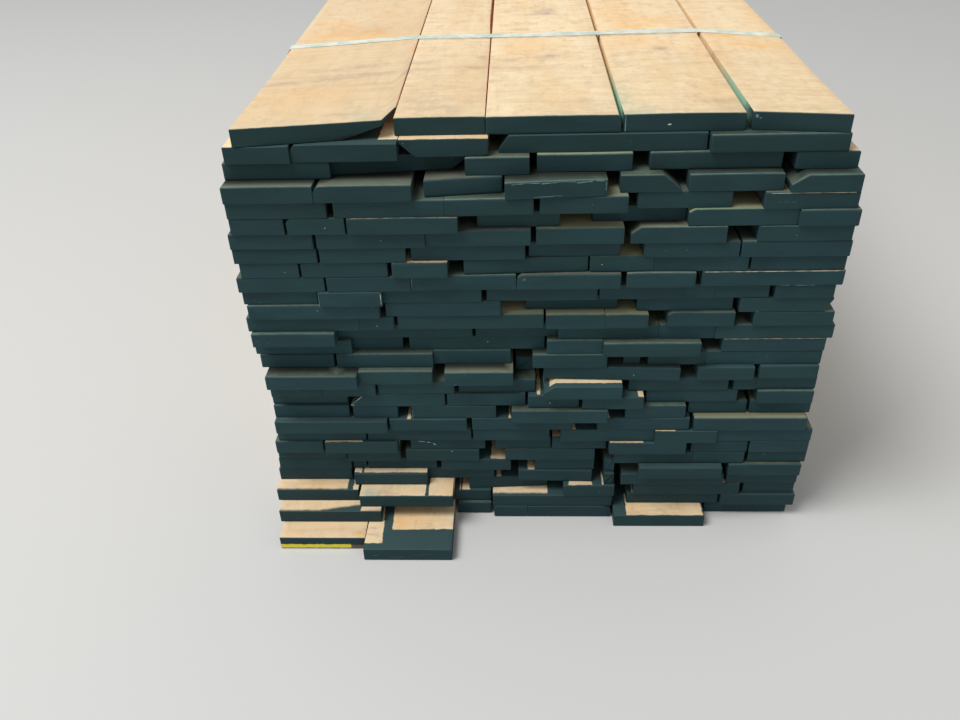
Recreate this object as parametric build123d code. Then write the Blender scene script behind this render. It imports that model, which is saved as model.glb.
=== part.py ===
"""A strapped stack of rough hardwood boards, laid flat in level courses.

Millimetres, +Z up. The boards run along Y and their painted near ends face -Y.
The origin is on the floor, under the middle of the stack.
"""
import os
from collections import namedtuple

from build123d import *

# Driving dimensions
BOARD_LENGTH = 3050.0       # ten foot stock
BOARD_THICKNESS = 28.0      # one inch boards, rough
STRAP_WIDTH = 25.0
STRAP_THICKNESS = 0.9
STRAP_FROM_END = 450.0      # from the stack's end plane to the middle of each strap
NEIGHBOUR_GAP = 2.0         # between two boards that lie side by side without a visible opening

Board = namedtuple("Board", "width near near_right gap wane clip")
Course = namedtuple("Course", "left boards")


def board(width, near, near_right=None, gap=NEIGHBOUR_GAP, wane=None, clip=None):
    """One board: its width, how far its near end stands forward of the end plane, and the gap to its right.

    near_right differs from near where the end is cut out of square.
    wane is (corner, width, height) of the edge that follows the log, and clip is (width, length)
    of the piece that is missing from the near right corner, seen from above.
    """
    if near_right is None:
        near_right = near
    return Board(width, near, near_right, gap, wane, clip)


def course(left, *boards):
    """One layer of boards, laid from its left edge, which is measured from the stack's middle line."""
    return Course(left, boards)


# The top course comes first, as the end is read
COURSES = [
    course(-461, board(241, 33, 3, gap=3, wane=("lower right", 80, 24), clip=(15, 60)),
           board(138, -6, gap=3), board(204, -4, gap=5, wane=("upper right", 4, 10)),
           board(181, -5, gap=12), board(141, -7, 13)),
    course(-478, board(101, 31), board(162, 27, wane=("upper left", 6, 8)),
           board(138, 12, gap=15, wane=("lower left", 25, 24)),
           board(319, 0, wane=("upper left", 16, 24)), board(207, 14)),
    course(-485, board(166, 25), board(206, 9, -12, wane=("lower right", 20, 16)), board(99, 19, gap=11),
           board(147, 10, gap=26), board(202, 7, gap=18), board(95, 13)),
    course(-486, board(141, 53), board(152, 53, gap=17, wane=("upper left", 8, 10)),
           board(122, 36, 22, gap=3), board(158, 50, 41, gap=20),
           board(95, 28, gap=10, wane=("upper right", 29, 25)), board(144, 28, gap=9),
           board(106, 37, wane=("upper left", 24, 16))),
    course(-486, board(159, 48, gap=10), board(173, 47), board(138, 47, 44, gap=9), board(137, 42, gap=15),
           board(147, 26, gap=47), board(143, 35)),
    course(-485, board(87, 47, gap=4), board(93, 48, gap=3, wane=("upper left", 6, 6)),
           board(175, 50, gap=29), board(132, 28, gap=52), board(147, 12),
           board(168, 33, wane=("upper left", 8, 6)), board(91, 40)),
    course(-493, board(136, 43, gap=5), board(174, 43), board(168, 39, gap=8), board(140, 36, gap=10),
           board(151, 36, gap=48, wane=("upper left", 16, 12)), board(148, 34)),
    course(-493, board(138, 39, gap=4), board(141, 39, gap=7), board(186, 33, gap=5), board(149, 23, gap=36),
           board(153, 31), board(172, 33)),
    course(-487, board(98, 36, gap=3), board(144, 36, gap=7), board(92, 42, gap=25), board(204, 30, 24),
           board(103, 26), board(152, 26, gap=3), board(152, 26)),
    course(-497, board(147, 35, gap=3), board(139, 36), board(173, 34),
           board(171, 35, gap=9, wane=("upper left", 8, 8)), board(113, 32, gap=10), board(230, 27)),
    course(-495, board(128, 27, gap=3), board(107, 38), board(165, 26, gap=8), board(186, 22, gap=3),
           board(137, 20), board(52, 18), board(89, 18, gap=7), board(98, 23)),
    course(-490, board(226, 32, gap=9), board(197, 24, gap=41), board(158, 4, gap=31), board(162, 11, gap=9),
           board(154, 19, wane=("lower right", 13, 24))),
    course(-498, board(194, 25), board(60, 25, gap=5), board(252, 21, gap=3), board(100, 24),
           board(73, 24, gap=32), board(114, 20, gap=31, wane=("upper left", 8, 6)), board(134, 19)),
    course(-493, board(145, 34), board(237, 4, gap=5), board(143, 3), board(172, 12), board(94, 13),
           board(200, 15)),
    course(-497, board(172, 12), board(89, -2, gap=11), board(241, 0, gap=3), board(97, 18),
           board(167, 29, gap=38), board(178, 13)),
    course(-491, board(133, 14, gap=4), board(172, 16), board(138, 5, gap=38), board(132, 21, gap=29),
           board(30, 9, gap=13), board(99, 12), board(201, 12)),
    course(-480, board(163, 45), board(133, 30, gap=21), board(123, 35, gap=4), board(34, -15, gap=16),
           board(242, 14, 24, gap=30), board(100, 22, gap=9), board(103, 18)),
    course(-480, board(92, 29), board(98, 28, gap=3), board(140, 21, gap=7), board(140, 16, gap=15),
           board(139, 40, gap=13, wane=("upper left", 20, 14)), board(179, 14, gap=9), board(39, 12),
           board(106, 10)),
    course(-485, board(141, 12, gap=6), board(175, 21, gap=3, wane=("upper left", 25, 23)),
           board(144, 20, gap=4), board(93, 28, gap=5), board(111, 33, gap=6), board(165, 11, gap=33),
           board(101, 17)),
    course(-484, board(141, 18, gap=7), board(84, 20, gap=26), board(156, 21, gap=28), board(175, 38, gap=33),
           board(110, 23, gap=7), board(106, 8, gap=5), board(111, 8)),
    course(-484, board(211, 32, gap=3), board(145, 25, gap=9), board(186, 22, gap=46), board(170, 24, gap=7),
           board(204, 26)),
    course(-487, board(169, 18, gap=3), board(197, 18, gap=3), board(144, 19, gap=20), board(174, 22),
           board(112, 28), board(174, 22)),
    course(-494, board(92, 22, gap=3), board(140, 24, gap=23), board(143, 10, gap=19), board(106, 8),
           board(104, 10, gap=3), board(144, 28, gap=10), board(105, 21, gap=3), board(109, 22)),
    course(-498, board(135, 6, gap=3), board(103, 15, gap=10), board(142, 13, gap=50), board(172, 11, gap=35),
           board(147, 21), board(97, 21, gap=7), board(109, 17)),
    course(-500, board(143, 5, gap=3), board(26, 3, gap=3), board(136, 3, gap=9), board(136, 9, gap=46),
           board(115, 6, gap=19), board(20, 12, gap=44), board(157, 35, gap=13), board(137, 25)),
    course(-504, board(145, 4, gap=7), board(143, 20), board(130, 0, gap=47), board(144, 8, 11, gap=22),
           board(20, 18, gap=13), board(197, 20, gap=7), board(135, 15)),
    course(-506, board(162, 35, gap=4), board(183, 53, gap=29), board(156, 0, -8, gap=30),
           board(100, 23, gap=37), board(206, 17, gap=8), board(98, 12)),
    course(-499, board(201, 66, gap=6), board(130, 5, gap=4), board(74, 5, gap=3), board(236, 21, gap=29),
           board(180, 12, gap=3), board(144, 18)),
    course(-493, board(166, 110), board(168, 139, gap=5), board(68, 12, gap=5), board(66, 22),
           board(165, 22, gap=3, wane=("upper right", 15, 10)), board(177, 48, gap=6), board(162, 8)),
]


def right_edge(layer):
    """The right edge of a course, from the stack's middle line."""
    widths = sum(b.width for b in layer.boards)
    gaps = sum(b.gap for b in layer.boards[:-1])
    return layer.left + widths + gaps


def near_end(b):
    """Where along Y a board's near end begins."""
    return -max(b.near, b.near_right)


ALL_NEAR_ENDS = [near_end(b) for layer in COURSES for b in layer.boards]
MIDDLE_X = (min(layer.left for layer in COURSES) + max(right_edge(layer) for layer in COURSES)) / 2
MIDDLE_Y = (min(ALL_NEAR_ENDS) + max(ALL_NEAR_ENDS) + BOARD_LENGTH) / 2


def section(width, wane):
    """A board's corners seen on its near end, anticlockwise from its lower left."""
    height = BOARD_THICKNESS
    corners = {
        "lower left": [(0, 0)],
        "lower right": [(width, 0)],
        "upper right": [(width, height)],
        "upper left": [(0, height)],
    }
    if wane:
        corner, across, down = wane
        corners[corner] = {
            "lower left": [(0, down), (across, 0)],
            "lower right": [(width - across, 0), (width, down)],
            "upper right": [(width, height - down), (width - across, height)],
            "upper left": [(across, height), (0, height - down)],
        }[corner]
    return [point for points in corners.values() for point in points]


def plan(b, left, far):
    """A board's corners seen from above, anticlockwise from its near left, with its skew end and clip."""
    right = left + b.width
    if b.clip:
        across, back = b.clip
        near_right = [(right - across, -b.near_right), (right, back - b.near_right)]
    else:
        near_right = [(right, -b.near_right)]
    return [(left, -b.near), *near_right, (right, far), (left, far)]


def make_board(b, left, bottom):
    """One board as a solid."""
    far = near_end(b) + BOARD_LENGTH
    far_plane = Plane(origin=(left, far, bottom), x_dir=(1, 0, 0), z_dir=(0, -1, 0))
    far_face = far_plane * make_face(Polyline(section(b.width, b.wane), close=True))
    solid = extrude(far_face, amount=BOARD_LENGTH)
    if b.near != b.near_right or b.clip:
        outline = make_face(Polyline(plan(b, left, far), close=True))
        solid = solid & extrude(Pos(0, 0, bottom) * outline, amount=BOARD_THICKNESS)
    return solid.solid()


def make_course(layer, bottom):
    """The boards of one course, side by side."""
    solids, left = [], layer.left
    for b in layer.boards:
        solids.append(make_board(b, left, bottom))
        left += b.width + b.gap
    return solids


def turns_left(a, b, c):
    """Whether the way from a by b to c turns anticlockwise."""
    return (b[0] - a[0]) * (c[1] - a[1]) > (b[1] - a[1]) * (c[0] - a[0])


def tight_side(points):
    """One side of a tight band's way round the points, which come in order."""
    chain = []
    for point in points:
        while len(chain) > 1 and not turns_left(chain[-2], chain[-1], point):
            chain.pop()
        chain.append(point)
    return chain[:-1]


def make_strap(middle):
    """A tight closed band round the whole stack, over the corners that stand furthest out."""
    corners = set()
    for level, layer in enumerate(reversed(COURSES)):
        bottom = STRAP_THICKNESS + level * BOARD_THICKNESS
        for z in (bottom, bottom + BOARD_THICKNESS):
            corners |= {(layer.left, z), (right_edge(layer), z)}
    ordered = sorted(corners)
    inside = make_face(Polyline(tight_side(ordered) + tight_side(ordered[::-1]), close=True))
    outside = offset(inside, amount=STRAP_THICKNESS)
    far_plane = Plane(origin=(0, middle + STRAP_WIDTH / 2, 0), x_dir=(1, 0, 0), z_dir=(0, -1, 0))
    return extrude(far_plane * (outside - inside), amount=STRAP_WIDTH).solid()


def write(name, solids):
    """One sub-part, moved so that the origin is under the middle of the stack."""
    moved = [Pos(-MIDDLE_X, -MIDDLE_Y, 0) * solid for solid in solids]
    export_step(moved[0] if len(moved) == 1 else Compound(moved), f"parts/{name}.step")


os.makedirs("parts", exist_ok=True)
for level, layer in enumerate(reversed(COURSES)):
    write(f"course_{level + 1:02d}", make_course(layer, STRAP_THICKNESS + level * BOARD_THICKNESS))
write("strap_near", [make_strap(STRAP_FROM_END)])
write("strap_far", [make_strap(BOARD_LENGTH - STRAP_FROM_END)])
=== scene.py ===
"""Looks for the strapped stack of rough boards: sawn wood, sealed board ends and two straps."""
import math
from types import SimpleNamespace

import bmesh
import bpy
import numpy as np
from mathutils import Matrix, Vector


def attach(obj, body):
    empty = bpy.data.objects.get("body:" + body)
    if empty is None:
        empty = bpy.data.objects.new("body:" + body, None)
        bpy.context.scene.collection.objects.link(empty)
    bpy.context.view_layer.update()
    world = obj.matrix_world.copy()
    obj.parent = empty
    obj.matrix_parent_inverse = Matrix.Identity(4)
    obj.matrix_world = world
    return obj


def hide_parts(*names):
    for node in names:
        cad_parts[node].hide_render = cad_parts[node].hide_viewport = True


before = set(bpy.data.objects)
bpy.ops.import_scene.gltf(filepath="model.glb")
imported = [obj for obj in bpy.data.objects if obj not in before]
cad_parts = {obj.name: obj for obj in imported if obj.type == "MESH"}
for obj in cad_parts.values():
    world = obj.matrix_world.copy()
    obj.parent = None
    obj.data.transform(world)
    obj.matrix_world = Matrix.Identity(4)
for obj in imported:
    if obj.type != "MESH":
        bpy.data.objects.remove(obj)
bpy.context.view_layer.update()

MM = 0.001
SEED = 7
COURSES = 29
TOP_COURSE = 1
FAR = 5000  # further out than anything reaches, in any unit

# The readings' origin lies this many millimetres from the frame's
MIDDLE_X = 4.0
MIDDLE_Y = 1463.0


# Smooth repeatable noise

NOISE_SIZE = 256


def ease(t):
    """Eases a rise from 0 to 1 at both its ends."""
    return t * t * (3 - 2 * t)


def smoothstep(low, high, value):
    """Rises smoothly from 0 at low to 1 at high."""
    return ease(np.clip((value - low) / (high - low), 0, 1))


def make_noise(rng, size=NOISE_SIZE):
    """A periodic value noise in two dimensions, from -1 to 1."""
    table = rng.uniform(-1, 1, (size, size))

    def noise(x, y):
        x, y = np.broadcast_arrays(np.asarray(x, float), np.asarray(y, float))
        column = np.floor(x).astype(int)
        row = np.floor(y).astype(int)
        share_x = ease(x - column)
        share_y = ease(y - row)
        left, right = column % size, (column + 1) % size
        below, above = row % size, (row + 1) % size
        low = table[left, below] * (1 - share_x) + table[right, below] * share_x
        high = table[left, above] * (1 - share_x) + table[right, above] * share_x
        return low * (1 - share_y) + high * share_y

    return noise


NOISE = make_noise(np.random.default_rng(SEED))


# The boards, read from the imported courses

SAME_POINT = 0.05 * MM
SAME_PLACE = 0.1 * MM
LEAST_GAP = 0.5 * MM
NEAR_END_FROM = 1.0  # metres from the far end: what lies beyond is on the near end

# The drawn near ends stay this far inside the solids, which leaves room for the flakes
END_INSET = 0.3 * MM


def unique_points(points):
    """Points without their repeats."""
    kept = []
    for p in points:
        if all(np.abs(np.subtract(p, q)).max() > SAME_POINT for q in kept):
            kept.append(p)
    return kept


def board_spans(mesh, co):
    """Where the boards of a course begin and end along X, from the left."""
    mesh.calc_loop_triangles()
    corners = [co[list(triangle.vertices), 0] for triangle in mesh.loop_triangles]
    merged = []
    for low, high in sorted([c.min(), c.max()] for c in corners):
        if merged and low < merged[-1][1] + LEAST_GAP:
            merged[-1][1] = max(merged[-1][1], high)
        else:
            merged.append([low, high])
    return merged


def read_board(own, low, high):
    """One board: its section on the far end, anticlockwise seen from -Y, and its near end's line."""
    far = own[:, 1].max()
    section = unique_points([(p[0], p[2]) for p in own if p[1] > far - SAME_PLACE])
    middle = np.mean(section, axis=0)
    section.sort(key=lambda p: math.atan2(p[1] - middle[1], p[0] - middle[0]))
    near = sorted(unique_points([(p[0], p[1] + END_INSET) for p in own if p[1] < far - NEAR_END_FROM]))
    return {"section": np.array(section), "near": np.array(near), "far": far, "low": low, "high": high,
            "floor": own[:, 2].min(), "top": own[:, 2].max()}


def read_boards(node):
    """The boards of a course, from the left, each with the gaps to its left and right."""
    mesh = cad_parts[node].data
    co = np.array([v.co for v in mesh.vertices])
    boards = []
    for low, high in board_spans(mesh, co):
        inside = (co[:, 0] > low - SAME_PLACE) & (co[:, 0] < high + SAME_PLACE)
        boards.append(read_board(co[inside], low, high))
    lefts = [b["low"] for b in boards] + [FAR]
    rights = [-FAR] + [b["high"] for b in boards]
    for i, b in enumerate(boards):
        b["gaps"] = (lefts[i] - rights[i], lefts[i + 1] - rights[i + 1])
    return boards


def near_at(board, x):
    """Where along Y a board's near end lies at each x."""
    return np.interp(x, board["near"][:, 0], board["near"][:, 1])


# What the photograph shows board by board: courses count from the top, boards from the left

# Joints that still show as a dark line, each named by the board to its left
OPEN_JOINTS = {(2, 4), (8, 5), (9, 4), (23, 4)}

# Boards whose top has solid sealer along the front edge
PAINTED = {
    (2, 4), (3, 2), (3, 6), (17, 6), (17, 7), (20, 1), (21, 1), (25, 6), (25, 7), (26, 5), (26, 6),
    (28, 6),
}

# Boards whose top the spray hardly reached
BARE = {(2, 3), (6, 3), (9, 3), (10, 6), (23, 5), (26, 2), (27, 5)}

# How pale the sprayed tops are: 0 is a dark teal and 1 an olive cream
SHADES = {
    (2, 5): 0.02, (3, 1): 0.5, (3, 3): 0.55, (3, 4): 0.8, (3, 5): 0.5, (4, 1): 0.55, (4, 2): 0.55,
    (4, 4): 0.15, (4, 5): 0.35, (4, 6): 0.05, (4, 7): 0.2, (5, 2): 0.42, (5, 3): 0.5, (5, 4): 0.62,
    (6, 6): 0.85, (7, 4): 0.88, (7, 5): 0.6, (7, 6): 0.35, (8, 3): 0.5, (8, 6): 0.45, (9, 5): 0.95,
    (10, 3): 0.45, (10, 5): 0.64, (12, 1): 0.6, (12, 2): 0.4, (12, 4): 0.4, (13, 3): 0.95, (13, 4): 0.78,
    (13, 5): 0.78, (13, 6): 0.4, (13, 7): 0.5, (14, 1): 0.45, (14, 5): 0.4, (14, 6): 0.35, (15, 4): 0.5,
    (15, 5): 0.5, (16, 2): 0.45, (16, 3): 0.45, (16, 4): 0.4, (16, 7): 0.25, (17, 1): 0.3, (17, 2): 0.5,
    (17, 3): 0.6, (17, 5): 0.1, (18, 4): 0.05, (18, 6): 0.1, (19, 1): 0.6, (19, 4): 0.1, (19, 7): 0.5,
    (20, 4): 0.25, (20, 5): 0.35, (21, 5): 0.7,
}

# Dark tops with a thin pale line along the front edge
RIMMED = {
    (2, 4), (2, 5), (4, 4), (4, 6), (4, 7), (5, 4), (6, 1), (6, 2), (6, 7), (7, 1), (7, 2), (9, 4), (9, 6),
    (10, 2), (10, 3), (10, 5), (11, 2), (12, 1), (13, 2), (15, 4), (15, 5), (19, 1),
}

# Boards of the palest wood
PALE = {(29, 6), (1, 3), (1, 4)}

# Bare places on painted tops: (left edge, right edge, front edge, lean of the side edges, rise of the front
# edge to the right, and how far back it goes if it ends), in millimetres from the readings' origin
WINDOWS = {
    (2, 1): [(-FAR, -463, -29, 0, 0)],
    (2, 2): [(-242, FAR, -6, 0, 0)],
    (3, 6): [(471, FAR, -10, 0, 0)],
    (18, 5): [(27, FAR, -27, 0, 0)],
    (19, 4): [(4, 11, -24, 0, 0)],
    (19, 5): [(186, FAR, -31, 0, 0)],
    (21, 2): [(-236.5, -229, -23, 0, 0)],
    (21, 3): [(-47, -43.5, -20, 0, 0)],
    (21, 4): [(133, 139.5, -22, 0, 0)],
    (22, 4): [(70, 78, -20, 0, 0)],
    (22, 5): [(-FAR, 262, -26, 0, 0)],
    (23, 2): [(-FAR, -326, -22, 0, 0)],
    (23, 6): [(-FAR, 205, -26, 0, 0)],
    (25, 4): [(-83, FAR, -6, 0, 0)],
    (26, 2): [(-333, -150, -15, 0, 0), (-FAR, -337, -15, 0, 0)],
    (26, 4): [(-12, 2, -6, 0, 0)],
    (27, 1): [(-FAR, -366, -32, 0, 0), (-355, FAR, -36, 0, 0)],
    (27, 2): [(-340, -211, -51, 0, 0), (-205, FAR, -51, 0, 0)],
    (27, 3): [(-73, -64, 4, 0, 0)],
    (27, 4): [(68, 114, -20, 0, 0), (133, 137, -20, 0, 0, 48)],
    (28, 1): [(-FAR, -418, -63, 0, 0), (-424, -341, -63, 0, 0.18), (-338, FAR, -65, 0, 0)],
    (28, 3): [(-142, -127, -3, 0, 0), (-147, -145.5, -3, 0, 0)],
    (28, 4): [(-FAR, 28, -14, 0, 0)],
    (28, 5): [(193, 198, -10, 0, 0)],
    (29, 1): [(-FAR, FAR, -109, 0, 0)],
    (29, 2): [(-FAR, -291, -122, -0.05, 0), (-276, FAR, -87, -0.02, 0.02)],
    (29, 4): [(-FAR, FAR, -19, 0, 0)],
    (29, 6): [(182, 331, -46, 0, 0, 60)],
}

# Boards whose paint fades out on the top
FADED = {(27, 1), (28, 1), (28, 4)}

# What the seam to the right of a top board gains in width: places from the near end and gains, in metres
SEAMS = {
    1: ((0, 0.06, 0.09, 3.1), (0, 0, 0.0006, 0.0010)),
    2: ((0, 0.1, 0.45, 0.6, 3.1), (0, 0.0006, 0.0012, 0.0048, 0.0036)),
    3: ((0, 0.1, 0.5, 3.1), (0, -0.0012, -0.0028, -0.0030)),
    4: ((0, 0.25, 0.6, 3.1), (0, -0.0010, -0.0045, -0.0055)),
}

# Reddish sides of top boards, their red painted bright to stand in for light on the seam walls
REDDISH = {(1, "right"), (2, "left"), (2, "right"), (3, "left")}

# How far the sealer reaches along the left sides of two top boards, and along all their other sides
LONG_LAPS = {4: 150 * MM, 5: 180 * MM}
SHORT_LAP = 16 * MM

# The board with the yellow stripe along its end's lower edge, and how far the stripe reaches
STRIPED = (29, 1)
STRIPE_REACH = 139 * MM

# Marks on the tops, by course from the top, with the near strap's painted shadow among them:
# (x, y, half length along x, half length along y, turn in degrees, strength)
SMUDGES_AND_STRAP_SHADOW = {
    1: [
        (-432, 185, 35, 9, 10, 1.0), (-345, 208, 60, 8, 12, 0.8), (-300, 232, 60, 7, 8, 0.9),
        (-300, 281, 45, 9, 18, 0.9), (-370, 262, 30, 7, 5, 0.6), (-205, 300, 28, 9, 5, 1.0),
        (-215, 250, 11, 18, 0, 1.0), (-190, 252, 40, 5, 0, 0.5), (-105, 262, 40, 9, 0, 0.9),
        (-90, 320, 11, 14, 30, 0.9), (-35, 308, 42, 5, 10, 0.9), (35, 322, 24, 14, 0, 1.0),
        (-30, 258, 60, 7, 5, 0.7), (165, 330, 18, 7, 0, 0.8), (155, 280, 14, 6, 0, 0.6),
        (232, 360, 17, 13, 0, 1.0), (240, 298, 12, 5, 0, 0.5), (38, 655, 16, 30, -10, 1.0),
        (5, 635, 20, 9, 20, 0.7), (-25, 515, 18, 7, 0, 0.5), (280, 62, 40, 14, 0, 0.7),
        (-300, 28, 25, 8, 10, 0.5), (325, 320, 9, 30, -20, 0.5), (-165, 70, 60, 70, 0, 0.35),
        # The four long marks with a half length of 3.5 mm along y, beside the near strap, are its painted
        # shadow
        (-330, 540, 60, 40, 10, 0.35), (-130, 455, 110, 3.5, 0, 1.0), (80, 456, 130, 3.5, 1, 1.0),
        (250, 461, 90, 3.5, 2, 1.0), (400, 441, 80, 3.5, -16, 1.0), (-60, 910, 60, 10, 8, 0.7),
        (120, 1180, 50, 12, -6, 0.7), (-330, 1440, 70, 12, 4, 0.8), (60, 1890, 60, 10, 5, 0.7),
        (330, 2080, 50, 12, -8, 0.7), (-200, 2380, 60, 9, 6, 0.7), (250, 2620, 60, 10, 3, 0.7),
        (-380, 2750, 50, 12, 9, 0.7),
    ],
    21: [(335, -16, 3.5, 2.5, 0, 1.0)],
    27: [(-290, -44, 20, 9, 0, 0.7), (-480, -22, 14, 8, 0, 0.4)],
    28: [(-310, -58, 20, 5, 0, 0.5)],
    29: [
        (-318, -84, 14, 1.5, 8, 1.0), (-308, -100, 22, 1.5, -4, 1.0), (-340, -92, 14, 2, 20, 0.8),
        (-264, -40, 1.5, 22, 2, 0.9), (-266, -74, 1.5, 18, 0, 0.9),
    ],
}
AMBER = {
    1: [
        (-300, 480, 60, 28, 0, 0.9), (-390, 500, 60, 30, 20, 0.7), (-385, 570, 30, 60, 45, 0.8),
        (-310, 520, 18, 26, -30, 1.0), (250, 560, 70, 40, 0, 0.8), (370, 440, 60, 26, -15, 1.0),
        (405, 368, 60, 30, -25, 1.0), (330, 300, 25, 50, -20, 0.5), (-218, 388, 7, 22, 10, 1.0),
        (-155, 580, 6, 60, 0, 0.5), (200, 520, 40, 20, 0, 0.7), (-370, 130, 90, 40, 0, 0.5),
        (120, 920, 50, 70, 10, 0.7), (-300, 1150, 60, 90, 0, 0.7), (360, 1330, 60, 60, 20, 0.8),
        (-60, 1700, 60, 100, 0, 0.6), (220, 2200, 60, 60, 0, 0.8), (-380, 2300, 50, 80, 15, 0.7),
        (20, 2700, 70, 60, 0, 0.7),
    ],
    27: [(-420, -20, 40, 10, 0, 0.6)],
    28: [(-380, -50, 50, 6, 5, 0.4)],
    29: [
        (-338, -98, 13, 9, 20, 1.0), (-390, -70, 40, 20, 0, 0.4), (-264, -60, 4, 40, 2, 0.8),
        (-225, -60, 50, 20, 0, 0.4), (-262, -66, 10, 30, 0, 0.6),
    ],
}
OVERSPRAY = {
    27: [(-322, -42, 20, 14, 0, 0.9)],
    21: [(404, -14, 5, 12, 0, 1.0)],
    1: [
        (-262, 25, 26, 26, 0, 0.9), (30, 14, 22, 26, 0, 0.6), (-135, 30, 8, 26, 0, 0.5),
        (138, 70, 9, 110, 0, 1.0), (160, 25, 28, 28, 0, 0.6), (230, 2, 70, 14, 0, 0.5),
        (60, 0, 60, 12, 0, 0.4), (100, 60, 30, 30, 0, 0.3), (300, 30, 30, 20, 0, 0.5),
        (400, 25, 60, 10, 0, 0.5), (-400, -5, 60, 10, 8, 0.4), (-262, 3020, 26, 26, 0, 0.8),
        (200, 3025, 60, 20, 0, 0.6), (380, 3020, 30, 24, 0, 0.6),
    ],
}

# Boards below the top course that have marks, and so are divided more finely
MARKED = {(21, 5), (27, 1), (27, 2), (28, 1), (29, 1), (29, 2)}


def marks(x, y, spots):
    """How strongly the spots mark each point, in the readings' millimetres."""
    total = np.zeros(len(x))
    for at_x, at_y, long, wide, turn, strength in spots:
        c, s = math.cos(math.radians(turn)), math.sin(math.radians(turn))
        u = ((x - at_x) * c + (y - at_y) * s) / long
        v = (-(x - at_x) * s + (y - at_y) * c) / wide
        total += strength * np.exp(-(u * u + v * v))
    return np.minimum(total, 1)


# The outline of a board's section, and the places along the board where it is repeated

CORNER_RADIUS = 1.6 * MM
CORNER_SPREAD = (0.6, 1.5)  # least and greatest share of that radius
LARGEST_CUT = 0.35  # share of a side that a rounded corner may take
TOWARDS_ENDS = 0.225  # a rounded corner's middle point, between its two ends
TOWARDS_CORNER = 0.55  # and the sharp corner
OUTLINE_STEP = 18 * MM
FINE_OUTLINE_STEP = 11 * MM

# Distances from either end in millimetres, and the step between those two runs
ROUNDING = [0, 0.5, 1.6, 4]
REST_OF_WAY = [160, 210, 280, 370, 480, 600, 730]
STATIONS = {
    "plain": ([*ROUNDING, 9, 16, 25, 36, 50, 68, 90, 120, *REST_OF_WAY], 140 * MM),
    "marked": ([*ROUNDING, *range(8, 160, 4), *REST_OF_WAY], 140 * MM),
    "top": ([*ROUNDING, *range(10, 424, 10), *range(424, 500, 4), *range(500, 800, 10)], 25 * MM),
}


def detail_of(course, index):
    """How finely a board is divided."""
    if course == TOP_COURSE:
        return "top"
    return "marked" if (course, index + 1) in MARKED else "plain"


def stations(length, detail):
    """Distances from the near end, close together near both ends."""
    near, step = STATIONS[detail]
    near = np.array(near) * MM
    middle = np.arange(near[-1] + step, length - near[-1] - step / 2, step)
    return np.concatenate([near, middle, (length - near)[::-1]])


def with_bends(points, bends):
    """The outline with points added where it crosses the bends, which are places along X."""
    for bend in bends:
        divided = []
        for i, p in enumerate(points):
            q = points[(i + 1) % len(points)]
            divided.append(p)
            if (p[0] - bend) * (q[0] - bend) < 0:
                divided.append(p + (q - p) * (bend - p[0]) / (q[0] - p[0]))
        points = divided
    return np.array(points)


def outline(section, radii, step):
    """The section with rounded corners and long sides divided, anticlockwise."""
    points = []
    count = len(section)
    sides = [section[(i + 1) % count] - section[i] for i in range(count)]
    lengths = [np.linalg.norm(s) for s in sides]
    cuts = [min(radii[i], LARGEST_CUT * lengths[i], LARGEST_CUT * lengths[i - 1]) for i in range(count)]
    for i in range(count):
        here = section[i]
        ahead = sides[i] / lengths[i]
        behind = sides[i - 1] / lengths[i - 1]
        start = here - behind * cuts[i]
        end = here + ahead * cuts[i]
        points += [start, (start + end) * TOWARDS_ENDS + here * TOWARDS_CORNER, end]
        run = lengths[i] - cuts[i] - cuts[(i + 1) % count]
        pieces = max(1, int(round(run / step)))
        points += [end + ahead * run * k / pieces for k in range(1, pieces)]
    return np.array(points)


# Board meshes: rings of points along each board, moved inward from the solid except where a joint closes

WOOD, SEALED = 0, 1  # a face's place in the list of materials
TIGHT_GAP = 2.5 * MM
CORNER_POWER = 8  # how closely a pull at the corners keeps to the corners
EDGE_POWER = 6
END_ROUNDING = (0.5, 1.3)  # millimetres, least and most
FIRST_RING, SECOND_RING = 0.1 * MM, 0.6 * MM
SECOND_SHARE = 0.35  # how much of the rounding the second ring has
TIGHT_SHARE = 0.2  # what is left of rounding and wandering beside a closed joint
CAP_INSET = 2.5 * MM
ON_BEND = 0.01 * MM  # a point this near a bend belongs to both sides of it
CAP_EXTRA = 0.2  # the flat cap is that much lower than its rounded rim is wide

# How far the edges wander: on the stack's sides, between the top boards, and elsewhere
OUTER_WANDER = 3.2 * MM
TOP_WANDER = 0.5 * MM
INNER_WANDER = 1.0 * MM
SLOW_WANDER, QUICK_WANDER = 3.1, 14  # waves a metre
ROW_APART = 9  # the quick waves come from another row of the noise
QUICK_SHARE = 0.35
OUTER_CALM = 0.25  # metres from the ends over which the stack's sides start to wander
INNER_CALM = 0.1
CALM_SHARE = 0.4
CLOSED_END, CLOSED_FADE = 20 * MM, 90 * MM  # closed joints are shut at the ends and open up behind them
LEAST_SEAM = 0.1 * MM
MOST_CLOSING = 0.9 * MM

# Uneven thickness and cupping
THINNING = (0.05, 0.4)
CUPPING = (-0.5, 0.9)
THIN_LEVEL, THIN_SWING = 0.6, 0.4
THIN_WAVES = (2.3, 1.5)
UNDER_SHARE = 0.5  # what the underside gets of it


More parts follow.
